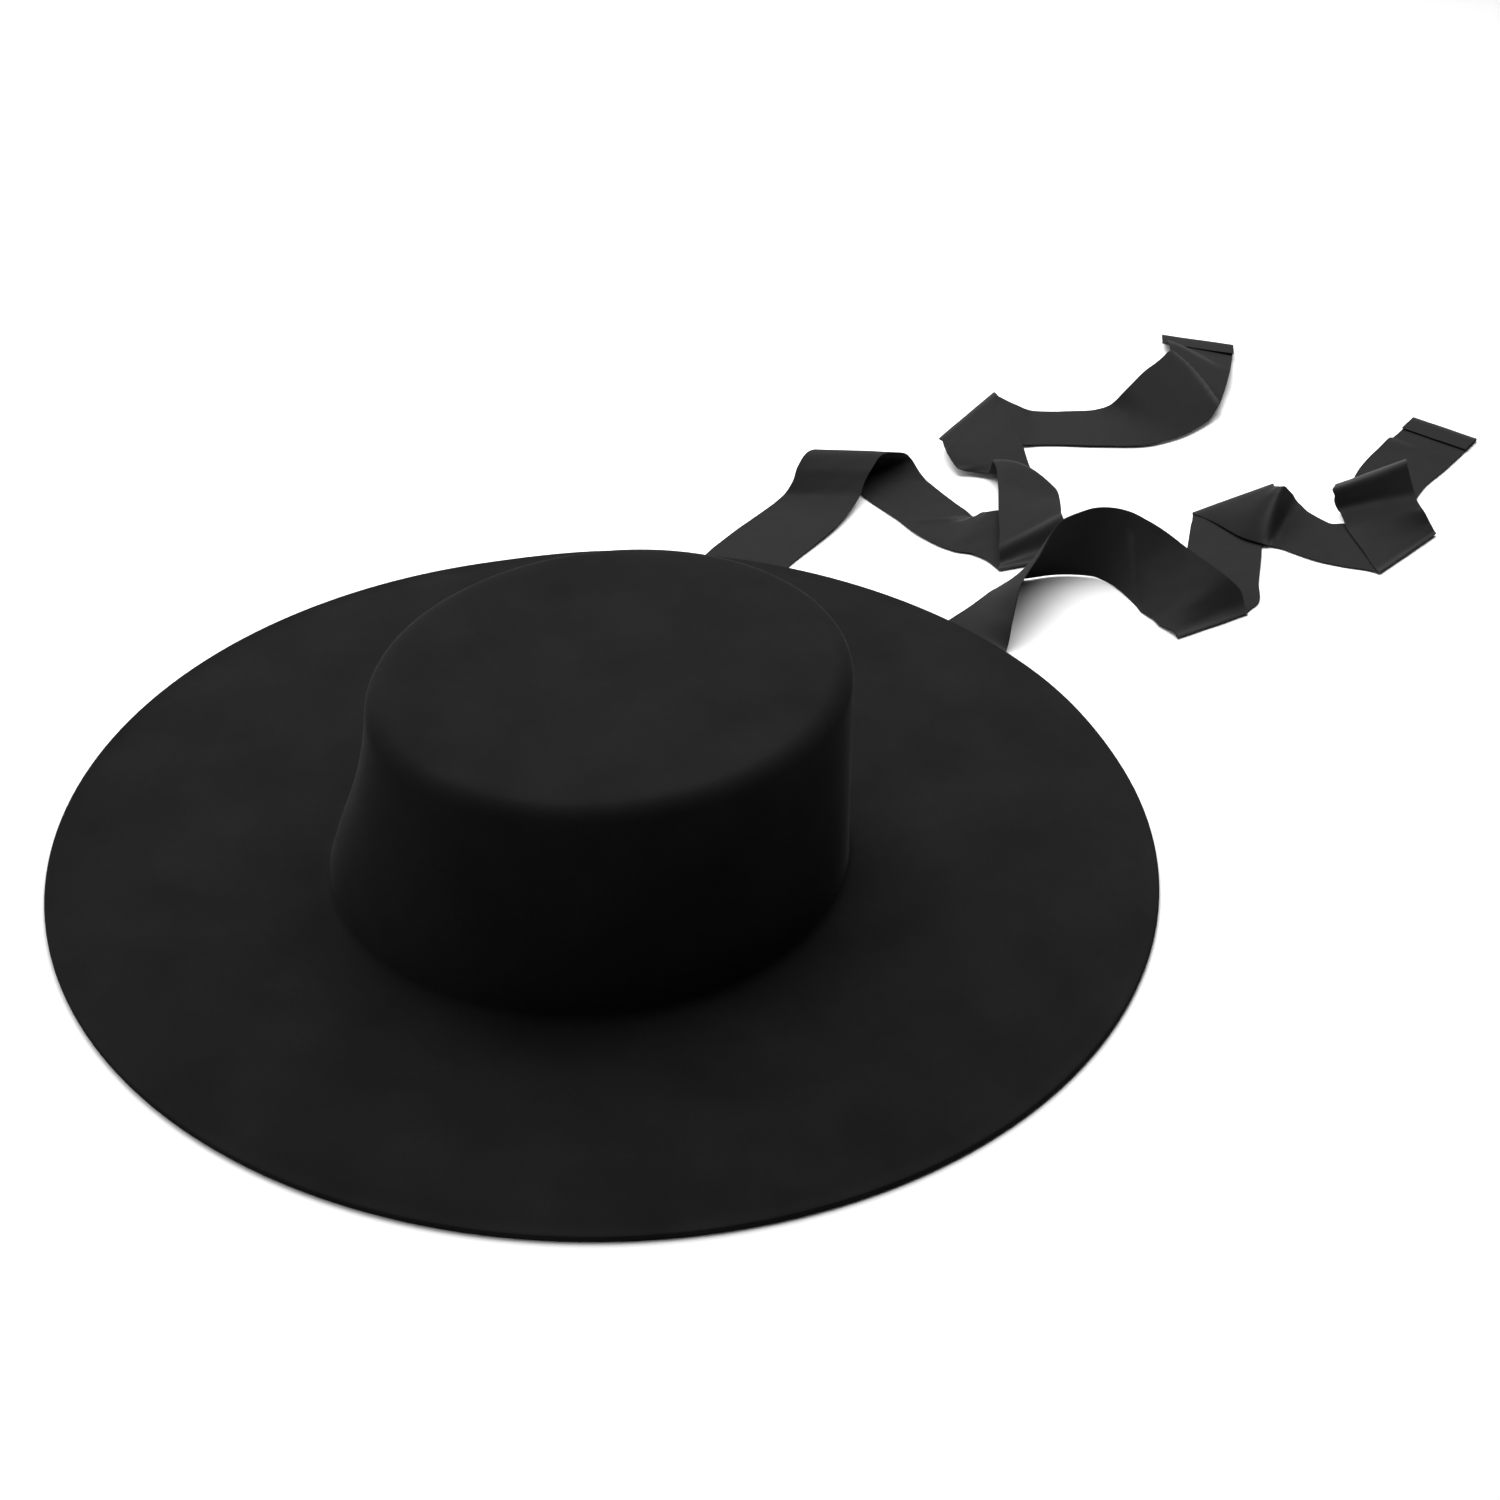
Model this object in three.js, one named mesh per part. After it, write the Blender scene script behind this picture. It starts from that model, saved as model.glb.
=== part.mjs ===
// Wide-brim felt hat with a flat crown and two long ribbon ties.
// Millimetres, +Z up. The origin is the centre of the head opening, in the plane the hat rests on.
// +Y is the back of the hat, where both ties come out from under the brim.
import * as THREE from 'three';

// Felt body: one blocked hood, crown and brim in one wall.
const FELT_THICKNESS = 2.4;
const CROWN_HEIGHT = 87;
const TIP_EDGE_RADIUS = 8.5;
const TIP_SAG = 1.2;
const BASE_FILLET_RADIUS = 7;
const BRIM_UNDERSIDE = 2.4;
const BRIM_TOP = BRIM_UNDERSIDE + FELT_THICKNESS;
const BRIM_EDGE_RADIUS = 0.9;
const BRIM_TIE_LIFT = 1.7;
const STEPS_AROUND = 64;

// Ovals of the felt body: centre and half width along X and Y.
const BASE_OVAL = { x: 0, y: 0, halfX: 93.5, halfY: 99.5 };
const TIP_OVAL = { x: 1, y: 9, halfX: 82.5, halfY: 94 };
const BRIM_OVAL = { x: 1, y: 6, halfX: 207.5, halfY: 210.5 };

// Side wall: how far the section has moved from the base oval to the tip oval at each height.
const WALL_ROWS = [
  { z: CROWN_HEIGHT - TIP_EDGE_RADIUS, toTip: 1 },
  { z: 64, toTip: 0.93 },
  { z: 48, toTip: 0.76 },
  { z: 32, toTip: 0.48 },
  { z: 20, toTip: 0.2 },
];

// Brim: height of the underside on the way from the base oval (0) to the outer edge (1).
const BRIM_ROWS = [
  { out: 0.2, z: 2.4 },
  { out: 0.4, z: 2.6 },
  { out: 0.6, z: 2.4 },
  { out: 0.78, z: 1.8 },
  { out: 0.9, z: 0.9 },
  { out: 0.955, z: 0 },
];

// Ribbon ties: flat woven strips with a turned hem at the free end, sewn to the inside of the crown
// at SEWN_HEIGHT and turned out under the brim.
const RIBBON_WIDTH = 33;
const RIBBON_THICKNESS = 1;
const HEM_DEPTH = 11;
const HEM_THICKNESS = 2;
const HEM_STEP = 0.5;
const SEWN_HEIGHT = 28;
const SEWN_INSET = 3.2;
const TURN_GAP = 0.9;
const RIBBON_STEP = 5;

// The ties are laid out on lines of their own, turned from the hat's axes about this point.
const TIE_LAY_CENTRE = new THREE.Vector3(-0.4, 7.5, 0);
const TIE_LAY_TURN = THREE.MathUtils.degToRad(50);

// Each row is one straight line across the ribbon, from its left edge to its right edge as it runs
// from the hat to its free end. A row with a rise is a fold: the ribbon turns back there and the
// next stretch lies that much higher (or lower) at the left and right edge.
const LEFT_TIE_SEWN_AT = 129; // degrees round the head opening from +X
const LEFT_TIE_ROWS = [
  { lx: 10, ly: 152, lz: 0.9, rx: 41, ry: 141, rz: 0.9 },
  { lx: 36, ly: 214, lz: 0.7, rx: 66, ry: 198, rz: 0.7 },
  { lx: 56, ly: 242, lz: 0.9, rx: 88, ry: 231, rz: 2 },
  { lx: 65, ly: 252, lz: 3, rx: 98, ry: 250, rz: 5 },
  { lx: 69, ly: 255.5, lz: 8, rx: 100, ry: 254.5, rz: 9.5 },
  { lx: 71, ly: 260, lz: 13, rx: 103, ry: 259, rz: 13.5 },
  { lx: 75, ly: 267, lz: 16, rx: 108, ry: 267, rz: 16 },
  { lx: 79, ly: 273, lz: 14, rx: 114, ry: 272, rz: 14 },
  { lx: 82, ly: 277, lz: 9.5, rx: 119, ry: 276.5, rz: 10 },
  { lx: 85, ly: 276.5, lz: 5, rx: 122, ry: 276, rz: 6 },
  { lx: 88, ly: 272, lz: 2, rx: 125, ry: 273, rz: 2.6 },
  { lx: 93, ly: 266, lz: 0.8, rx: 128, ry: 269, rz: 1 },
  { lx: 106, ly: 249, lz: 0.7, rx: 140, ry: 252, rz: 0.7 },
  { lx: 113.5, ly: 240, lz: 0.8, rx: 144, ry: 246.3, rz: 0.9 },
  { lx: 121, ly: 229.5, lz: 0.9, rx: 146.5, ry: 242.3, rz: 0.8 },
  { lx: 128.5, ly: 222.5, lz: 1.3, rx: 149, ry: 242, rz: 2.2 },
  { lx: 137, ly: 217, lz: 1.2, rx: 153, ry: 242.5, rz: 2.8 },
  { lx: 144, ly: 213.5, lz: 2, rx: 160, ry: 239.5, rz: 2.6 },
  { lx: 150, ly: 208.5, lz: 2, rx: 170, ry: 231, rz: 2 },
  { lx: 157, ly: 202, lz: 0.7, rx: 188, ry: 211, rz: 0.7, riseL: 2.1, riseR: 2.1 },
  { lx: 157.3, ly: 206.5, lz: 2.9, rx: 188, ry: 226, rz: 3.2 },
  { lx: 157.6, ly: 213.5, lz: 6.6, rx: 187.8, ry: 236, rz: 5.6 },
  { lx: 158, ly: 225, lz: 6.4, rx: 187.4, ry: 241, rz: 6.2 },
  { lx: 158, ly: 245, lz: 6.8, rx: 186.5, ry: 245, rz: 6.8 },
  { lx: 157.3, ly: 260, lz: 9.8, rx: 185.3, ry: 248, rz: 7.3 },
  { lx: 155.5, ly: 269.5, lz: 13.5, rx: 183, ry: 251.5, rz: 7.8 },
  { lx: 155.3, ly: 274, lz: 9.5, rx: 180.5, ry: 257, rz: 5.6 },
  { lx: 156, ly: 275, lz: 4.5, rx: 178, ry: 262, rz: 2.8 },
  { lx: 153, ly: 275.5, lz: 1.5, rx: 175.5, ry: 268, rz: 1.4 },
  { lx: 147, ly: 277, lz: 1, rx: 174, ry: 274, rz: 1 },
  { lx: 142.3, ly: 281, lz: 1, rx: 173, ry: 283, rz: 1 },
  { lx: 137.3, ly: 298.5, lz: 2.5, rx: 169, ry: 304.5, rz: 2.8 },
  { lx: 135, ly: 306, lz: 2.9, rx: 160, ry: 343, rz: 2.9, riseL: -2.2, riseR: -2.2 },
  { lx: 162, ly: 300, lz: 0.8, rx: 168, ry: 333, rz: 0.7 },
  { lx: 179, ly: 299, lz: 1.3, rx: 177, ry: 330, rz: 0.7 },
  { lx: 204, ly: 299, lz: 2, rx: 199, ry: 330, rz: 1 },
  { lx: 228, ly: 304, lz: 1.5, rx: 210, ry: 332, rz: 4 },
  { lx: 243, ly: 313, lz: 1.5, rx: 218, ry: 340, rz: 8 },
  { lx: 253, ly: 323, lz: 2, rx: 228, ry: 350, rz: 13 },
  { lx: 258, ly: 332, lz: 4, rx: 236, ry: 359, rz: 15 },
  { lx: 262, ly: 345, lz: 4.5, rx: 239, ry: 368, rz: 9 },
  { lx: 265, ly: 357, lz: 6, rx: 239, ry: 378, rz: 10 },
  { lx: 268, ly: 375, lz: 3, rx: 238, ry: 387, rz: 4 },
  { lx: 270, ly: 390, lz: 1.2, rx: 238, ry: 398, rz: 1.2 },
];

const RIGHT_TIE_SEWN_AT = 96;
const RIGHT_TIE_ROWS = [
  { lx: 84, ly: 113, lz: 0.9, rx: 107, ry: 90, rz: 0.9 },
  { lx: 134, ly: 164, lz: 0.7, rx: 156, ry: 141, rz: 0.7 },
  { lx: 145, ly: 177, lz: 0.7, rx: 159, ry: 149, rz: 11 },
  { lx: 153, ly: 187, lz: 0.7, rx: 162, ry: 159, rz: 21 },
  { lx: 161, ly: 195, lz: 0.7, rx: 170, ry: 175, rz: 26 },
  { lx: 168, ly: 199, lz: 0.7, rx: 181, ry: 197, rz: 30 },
  { lx: 179, ly: 203, lz: 0.7, rx: 192, ry: 204.5, rz: 30.5 },
  { lx: 188, ly: 204, lz: 0.7, rx: 201, ry: 207, rz: 30 },
  { lx: 197, ly: 202, lz: 0.7, rx: 209, ry: 205, rz: 29.5 },
  { lx: 203, ly: 196.5, lz: 0.7, rx: 217, ry: 200, rz: 28 },
  { lx: 208, ly: 187, lz: 0.7, rx: 225, ry: 195, rz: 25 },
  { lx: 214, ly: 177, lz: 0.7, rx: 233, ry: 191, rz: 21.5 },
  { lx: 219.5, ly: 168, lz: 1.1, rx: 243, ry: 185, rz: 19 },
  { lx: 223.5, ly: 161, lz: 2, rx: 251, ry: 174, rz: 13.5 },
  { lx: 227, ly: 155, lz: 2.9, rx: 259, ry: 165.5, rz: 11.5, riseL: -2.2, riseR: -9.8 },
  { lx: 231, ly: 190, lz: 0.7, rx: 264, ry: 188, rz: 0.7 },
  { lx: 236, ly: 222, lz: 0.7, rx: 267.5, ry: 221, rz: 1 },
  { lx: 238.8, ly: 238, lz: 0.8, rx: 273, ry: 246, rz: 2.6 },
  { lx: 240.5, ly: 246.5, lz: 0.9, rx: 278.5, ry: 262, rz: 4.4, riseL: 2.1, riseR: 3.1 },
  { lx: 265.5, ly: 228.5, lz: 3.2, rx: 282, ry: 258.7, rz: 7.4 },
  { lx: 267.5, ly: 227.5, lz: 3, rx: 284, ry: 256, rz: 5.9 },
  { lx: 272.5, ly: 224.8, lz: 1.7, rx: 287.5, ry: 252, rz: 3.4 },
  { lx: 279, ly: 221.5, lz: 0.7, rx: 297, ry: 243.5, rz: 0.9 },
  { lx: 287, ly: 217, lz: 0.7, rx: 302, ry: 243, rz: 0.7 },
  { lx: 304, ly: 211.5, lz: 0.7, rx: 318, ry: 242, rz: 0.7 },
  { lx: 316, ly: 206, lz: 0.7, rx: 343.3, ry: 234.5, rz: 0.8, riseL: 2.4, riseR: 2.4 },
  { lx: 304.5, ly: 240, lz: 3.6, rx: 341, ry: 251, rz: 3.8 },
  { lx: 304, ly: 245.5, lz: 4.7, rx: 339.5, ry: 256.5, rz: 5.2 },
  { lx: 303.8, ly: 249, lz: 4.4, rx: 338.6, ry: 259.5, rz: 5.2 },
  { lx: 303.3, ly: 259, lz: 5, rx: 335.6, ry: 267.5, rz: 9.8 },
  { lx: 303, ly: 268, lz: 5.4, rx: 333, ry: 275, rz: 14, riseL: -3.1, riseR: -5.6 },
  { lx: 306, ly: 261, lz: 2.7, rx: 336, ry: 259, rz: 2.9, riseL: -2, riseR: -2.2 },
  { lx: 315, ly: 285, lz: 0.7, rx: 343, ry: 274, rz: 0.7 },
  { lx: 326.5, ly: 305, lz: 0.8, rx: 354, ry: 289, rz: 0.7 },
  { lx: 332, ly: 312, lz: 2.2, rx: 358.5, ry: 295.5, rz: 1 },
  { lx: 334.5, ly: 315, lz: 0.8, rx: 361, ry: 299, rz: 0.7 },
  { lx: 345, ly: 331, lz: 0.7, rx: 371, ry: 314, rz: 0.7 },
];

const FELT_COLOUR = '#1c1d1f';
const RIBBON_COLOUR = '#2f3032';

const mix = (a, b, t) => a + (b - a) * t;

function mixOval(a, b, t) {
  return {
    x: mix(a.x, b.x, t),
    y: mix(a.y, b.y, t),
    halfX: mix(a.halfX, b.halfX, t),
    halfY: mix(a.halfY, b.halfY, t),
  };
}

function smoothStep(from, to, value) {
  const t = Math.min(1, Math.max(0, (value - from) / (to - from)));
  return t * t * (3 - 2 * t);
}

// The brim is lifted a little where the two ties pass under its back edge.
function tieLift(angle) {
  const degrees = THREE.MathUtils.radToDeg(angle);
  return BRIM_TIE_LIFT * smoothStep(68, 86, degrees) * (1 - smoothStep(137, 155, degrees));
}

// One ring of the felt wall: an oval, grown outward by `grow`, at height z.
function ring(oval, grow, z, lift = 0) {
  const points = [];
  for (let i = 0; i < STEPS_AROUND; i += 1) {
    const angle = (i / STEPS_AROUND) * Math.PI * 2;
    points.push(new THREE.Vector3(
      oval.x + (oval.halfX + grow) * Math.cos(angle),
      oval.y + (oval.halfY + grow) * Math.sin(angle),
      z + lift * tieLift(angle),
    ));
  }
  return points;
}

function arcSteps(count) {
  return Array.from({ length: count + 1 }, (_, i) => (i / count) * (Math.PI / 2));
}

// Wall surface from the tip to the brim edge. depth 0 is the outside, FELT_THICKNESS the inside.
function feltRings(depth) {
  const rings = [];
  const top = CROWN_HEIGHT - depth;
  for (const reach of [0.35, 0.7]) {
    const inner = mixOval({ ...TIP_OVAL, halfX: 0, halfY: 0 }, TIP_OVAL, reach);
    rings.push(ring(inner, 0, top - TIP_SAG * (1 - reach * reach)));
  }
  const edge = TIP_EDGE_RADIUS - depth;
  for (const a of arcSteps(3)) {
    const grow = -TIP_EDGE_RADIUS + edge * Math.sin(a);
    rings.push(ring(TIP_OVAL, grow, CROWN_HEIGHT - TIP_EDGE_RADIUS + edge * Math.cos(a)));
  }
  for (const row of WALL_ROWS.slice(1)) {
    rings.push(ring(mixOval(BASE_OVAL, TIP_OVAL, row.toTip), -depth, row.z));
  }
  const fillet = BASE_FILLET_RADIUS + depth;
  for (const a of arcSteps(3)) {
    const grow = BASE_FILLET_RADIUS - fillet * Math.cos(a);
    rings.push(ring(BASE_OVAL, grow, BRIM_TOP + BASE_FILLET_RADIUS - fillet * Math.sin(a)));
  }
  for (const row of BRIM_ROWS) {
    const oval = mixOval(BASE_OVAL, BRIM_OVAL, row.out);
    rings.push(ring(oval, 0, row.z + FELT_THICKNESS - depth, smoothStep(0.1, 0.6, row.out)));
  }
  return rings;
}

function feltEdge() {
  const rings = [ring(BRIM_OVAL, -3.5, FELT_THICKNESS - 0.1, 1)];
  for (const a of arcSteps(2)) {
    const grow = BRIM_EDGE_RADIUS * (Math.sin(a) - 1);
    const z = FELT_THICKNESS - 0.5 + BRIM_EDGE_RADIUS * (Math.cos(a) - 1);
    rings.push(ring(BRIM_OVAL, grow, z, 1));
  }
  rings.push(ring(BRIM_OVAL, 0, 0.5, 1));
  rings.push(ring(BRIM_OVAL, -0.5, 0, 1));
  return rings;
}

// Closed surface through a list of rings, with a centre point closing each end.
function lathedBody(rings, firstCentre, lastCentre) {
  const vertices = [firstCentre, ...rings.flat(), lastCentre];
  const count = STEPS_AROUND;
  const indices = [];
  const at = (r, i) => 1 + r * count + (i % count);
  for (let i = 0; i < count; i += 1) {
    indices.push(0, at(0, i), at(0, i + 1));
  }
  for (let r = 0; r + 1 < rings.length; r += 1) {
    for (let i = 0; i < count; i += 1) {
      indices.push(at(r, i), at(r + 1, i), at(r + 1, i + 1));
      indices.push(at(r, i), at(r + 1, i + 1), at(r, i + 1));
    }
  }
  const last = vertices.length - 1;
  for (let i = 0; i < count; i += 1) {
    indices.push(at(rings.length - 1, i), last, at(rings.length - 1, i + 1));
  }
  return bodyGeometry(vertices, indices);
}

function bodyGeometry(vertices, indices) {
  const geometry = new THREE.BufferGeometry();
  const flat = vertices.flatMap((p) => [p.x, p.y, p.z]);
  geometry.setAttribute('position', new THREE.Float32BufferAttribute(flat, 3));
  geometry.setIndex(indices);
  geometry.computeVertexNormals();
  return geometry;
}

function feltGeometry() {
  const outside = feltRings(0);
  const inside = feltRings(FELT_THICKNESS).reverse();
  const centre = (depth) => new THREE.Vector3(
    TIP_OVAL.x,
    TIP_OVAL.y,
    CROWN_HEIGHT - TIP_SAG - depth,
  );
  return lathedBody([...outside, ...feltEdge(), ...inside], centre(0), centre(FELT_THICKNESS));
}

// Lines across the hidden end of a tie: sewn flat to the inside of the crown, then turned out
// under the brim.
function sewnRows(sewnAt) {
  const angle = THREE.MathUtils.degToRad(sewnAt);
  const rows = [];
  const add = (oval, grow, z) => {
    const wide = oval.halfX + grow;
    const long = oval.halfY + grow;
    const middle = new THREE.Vector3(
      oval.x + wide * Math.cos(angle),
      oval.y + long * Math.sin(angle),
      z,
    );
    const right = new THREE.Vector3(wide * Math.sin(angle), -long * Math.cos(angle), 0);
    right.normalize();
    rows.push({
      left: middle.clone().addScaledVector(right, -RIBBON_WIDTH / 2),
      right: middle.clone().addScaledVector(right, RIBBON_WIDTH / 2),
    });
  };
  const slope = 0.2 / (20 - BRIM_TOP - BASE_FILLET_RADIUS);
  for (const z of [SEWN_HEIGHT, 20]) {
    const toTip = slope * (z - BRIM_TOP - BASE_FILLET_RADIUS);
    add(mixOval(BASE_OVAL, TIP_OVAL, toTip), -FELT_THICKNESS - SEWN_INSET, z);
  }
  const turn = BASE_FILLET_RADIUS + FELT_THICKNESS + TURN_GAP + RIBBON_THICKNESS / 2;
  const slack = SEWN_INSET - TURN_GAP - RIBBON_THICKNESS / 2;
  for (const a of [0, 0.3, 0.6, 0.85]) {
    const bend = a * (Math.PI / 2);
    const grow = BASE_FILLET_RADIUS - turn * Math.cos(bend) - slack * Math.cos(bend);
    add(BASE_OVAL, grow, BRIM_TOP + BASE_FILLET_RADIUS - turn * Math.sin(bend));
  }
  return rows;
}

// The straight lines around one fold, rounded so that the two layers end `rise` apart.
function foldLines(line, before, rise) {
  const middle = line.left.clone().add(line.right).multiplyScalar(0.5);
  const along = line.right.clone().sub(line.left).setZ(0).normalize();
  const outward = new THREE.Vector3(along.y, -along.x, 0);
  const from = before.left.clone().add(before.right).multiplyScalar(0.5);
  if (outward.dot(middle.sub(from)) < 0) {
    outward.negate();
  }
  return [0, 0.25, 0.5, 0.75, 1].map((part) => {
    const a = part * Math.PI;
    const place = (end, height) => end.clone()
      .addScaledVector(outward, (Math.abs(height) / 2) * (Math.sin(a) - 1))
      .setZ(end.z + (height / 2) * (1 - Math.cos(a)));
    return { left: place(line.left, rise.left), right: place(line.right, rise.right) };
  });
}

function tieLines(sewnAt, rows) {
  const toHat = (x, y, z) => new THREE.Vector3(x, y, z)
    .applyAxisAngle(new THREE.Vector3(0, 0, 1), TIE_LAY_TURN)
    .add(TIE_LAY_CENTRE);
  const lines = sewnRows(sewnAt);
  for (const row of rows) {
    const line = {
      left: toHat(row.lx, row.ly, row.lz),
      right: toHat(row.rx, row.ry, row.rz),
    };
    if (row.riseL === undefined) {
      lines.push(line);
    } else {
      const rise = { left: row.riseL, right: row.riseR };
      lines.push(...foldLines(line, lines[lines.length - 1], rise));
    }
  }
  return lines;
}

// Slope-limited cubic through one column of values, so flat stretches stay flat.
function smoothColumn(at, values) {
  const count = values.length;
  const slope = [];
  for (let i = 0; i + 1 < count; i += 1) {
    slope.push((values[i + 1] - values[i]) / (at[i + 1] - at[i]));
  }
  const tangent = [slope[0]];
  for (let i = 1; i + 1 < count; i += 1) {
    const product = slope[i - 1] * slope[i];
    tangent.push(product <= 0 ? 0 : (2 * product) / (slope[i - 1] + slope[i]));
  }
  tangent.push(slope[count - 2]);
  return (i, t) => {
    const h = at[i + 1] - at[i];
    const t2 = t * t;
    const t3 = t2 * t;
    return (2 * t3 - 3 * t2 + 1) * values[i] + (t3 - 2 * t2 + t) * h * tangent[i]
      + (3 * t2 - 2 * t3) * values[i + 1] + (t3 - t2) * h * tangent[i + 1];
  };
}

function middleGap(a, b) {
  return a.left.clone().add(a.right).distanceTo(b.left.clone().add(b.right)) / 2;
}

function smoothLines(lines) {
  const at = [0];
  for (let i = 1; i < lines.length; i += 1) {
    at.push(at[i - 1] + middleGap(lines[i - 1], lines[i]));
  }
  const column = (side, axis) => smoothColumn(at, lines.map((line) => line[side][axis]));
  const curves = {};
  for (const side of ['left', 'right']) {
    curves[side] = { x: column(side, 'x'), y: column(side, 'y'), z: column(side, 'z') };
  }
  const point = (curve, i, t) => new THREE.Vector3(curve.x(i, t), curve.y(i, t), curve.z(i, t));
  const fine = [];
  for (let i = 0; i + 1 < lines.length; i += 1) {
    const steps = Math.max(1, Math.round((at[i + 1] - at[i]) / RIBBON_STEP));
    for (let step = 0; step < steps; step += 1) {
      const t = step / steps;
      fine.push({ left: point(curves.left, i, t), right: point(curves.right, i, t) });
    }
  }
  fine.push(lines[lines.length - 1]);
  return fine;
}

// Closed strip: a four-cornered section at each line, thicker along the turned hem.
function ribbonGeometry(sewnAt, rows, hemSide) {
  const lines = smoothLines(tieLines(sewnAt, rows));
  const end = lines[lines.length - 1];
  const vertices = [];
  const addSection = (line, normals, hem) => {
    const extra = hem ? HEM_THICKNESS - RIBBON_THICKNESS : 0;
    const up = RIBBON_THICKNESS / 2 + (hemSide > 0 ? extra : 0);
    const down = RIBBON_THICKNESS / 2 + (hemSide < 0 ? extra : 0);
    vertices.push(line.left.clone().addScaledVector(normals.left, up));
    vertices.push(line.right.clone().addScaledVector(normals.right, up));
    vertices.push(line.right.clone().addScaledVector(normals.right, -down));
    vertices.push(line.left.clone().addScaledVector(normals.left, -down));
  };
  lines.forEach((line, i) => {
    const before = lines[Math.max(0, i - 1)];
    const after = lines[Math.min(lines.length - 1, i + 1)];
    const across = line.right.clone().sub(line.left);
    const normals = {
      left: across.clone().cross(after.left.clone().sub(before.left)).normalize(),
      right: across.clone().cross(after.right.clone().sub(before.right)).normalize(),
    };
    const inHem = middleGap(line, end) < HEM_DEPTH;
    if (inHem && middleGap(before, end) >= HEM_DEPTH) {
      addSection(line, normals, false);
      const step = after.left.clone().sub(line.left).setLength(HEM_STEP);
      const shifted = { left: line.left.clone().add(step), right: line.right.clone().add(step) };
      addSection(shifted, normals, true);
    } else {
      addSection(line, normals, inHem);
    }
  });
  const sections = vertices.length / 4;
  const indices = [0, 2, 1, 0, 3, 2];
  for (let s = 0; s + 1 < sections; s += 1) {
    for (let corner = 0; corner < 4; corner += 1) {
      const a = s * 4 + corner;
      const b = s * 4 + ((corner + 1) % 4);
      indices.push(a, b + 4, a + 4);
      indices.push(a, b, b + 4);
    }
  }
  const e = (sections - 1) * 4;
  indices.push(e, e + 1, e + 2, e, e + 2, e + 3);
  return bodyGeometry(vertices, indices);
}

function addMesh(group, name, geometry, colour, roughness) {
  const material = new THREE.MeshStandardMaterial({ color: colour, roughness, metalness: 0 });
  const mesh = new THREE.Mesh(geometry, material);
  mesh.name = name;
  group.add(mesh);
}

const group = new THREE.Group();
addMesh(group, 'felt_body', feltGeometry(), FELT_COLOUR, 0.95);
addMesh(group, 'ribbon_tie_left', ribbonGeometry(LEFT_TIE_SEWN_AT, LEFT_TIE_ROWS, -1),
  RIBBON_COLOUR, 0.85);
addMesh(group, 'ribbon_tie_right', ribbonGeometry(RIGHT_TIE_SEWN_AT, RIGHT_TIE_ROWS, 1),
  RIBBON_COLOUR, 0.85);

export default group;
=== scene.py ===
"""Looks of a wide-brim wool felt hat with two ribbon ties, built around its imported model."""

import math

import bpy
import numpy as np
from bpy.props import FloatProperty, FloatVectorProperty, IntProperty, PointerProperty
from bpy.types import Operator, Panel, PropertyGroup
from mathutils import Matrix, Vector, noise


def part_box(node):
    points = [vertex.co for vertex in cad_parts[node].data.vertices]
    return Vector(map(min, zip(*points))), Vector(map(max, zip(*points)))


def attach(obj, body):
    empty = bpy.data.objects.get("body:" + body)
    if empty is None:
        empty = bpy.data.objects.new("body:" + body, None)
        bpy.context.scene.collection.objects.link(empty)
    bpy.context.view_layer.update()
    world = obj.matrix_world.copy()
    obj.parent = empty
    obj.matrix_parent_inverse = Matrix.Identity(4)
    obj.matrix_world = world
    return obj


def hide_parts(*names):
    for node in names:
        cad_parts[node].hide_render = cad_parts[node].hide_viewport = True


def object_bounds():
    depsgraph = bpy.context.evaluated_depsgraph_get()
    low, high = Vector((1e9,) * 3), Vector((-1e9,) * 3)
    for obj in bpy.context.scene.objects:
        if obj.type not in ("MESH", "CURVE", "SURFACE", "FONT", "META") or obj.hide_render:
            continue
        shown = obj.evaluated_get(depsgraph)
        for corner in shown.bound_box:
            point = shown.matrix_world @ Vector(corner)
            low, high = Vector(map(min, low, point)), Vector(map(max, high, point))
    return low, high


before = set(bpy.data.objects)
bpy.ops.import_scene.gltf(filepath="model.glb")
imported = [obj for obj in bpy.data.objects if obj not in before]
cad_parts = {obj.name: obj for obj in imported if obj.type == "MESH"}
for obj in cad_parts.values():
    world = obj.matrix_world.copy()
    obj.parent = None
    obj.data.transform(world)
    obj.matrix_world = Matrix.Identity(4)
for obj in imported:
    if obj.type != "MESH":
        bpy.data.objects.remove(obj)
CAD_LOW, CAD_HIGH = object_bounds()
FELT_LOW, FELT_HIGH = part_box("felt_body")

bl_info = {
    "name": "Felt hat with ribbon ties",
    "version": (1, 0, 0),
    "blender": (4, 5, 0),
    "location": "View3D > Sidebar > Hat",
    "description": "Builds a wide-brim wool felt hat with two ribbon ties on its packed model",
    "category": "Object",
}

MM = 0.001
SHARP_EDGE = math.radians(50)  # an edge is sharp where its faces turn by more than this


def linear(hex_colour):
    """Linear red, green and blue of an sRGB hex colour."""
    parts = [int(hex_colour[i:i + 2], 16) / 255 for i in (1, 3, 5)]
    return tuple(c / 12.92 if c <= 0.04045 else ((c + 0.055) / 1.055) ** 2.4 for c in parts)


# ---------------------------------------------------------------------------------------------
# Sizes and colours


def size(name, description, default):
    return FloatProperty(name=name, description=description, default=default, unit="LENGTH",
                         precision=5)


def share(name, description, default):
    return FloatProperty(name=name, description=description, default=default, subtype="FACTOR")


def colour(name, description, hex_colour):
    return FloatVectorProperty(name=name, description=description, default=linear(hex_colour),
                               subtype="COLOR")


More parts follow.
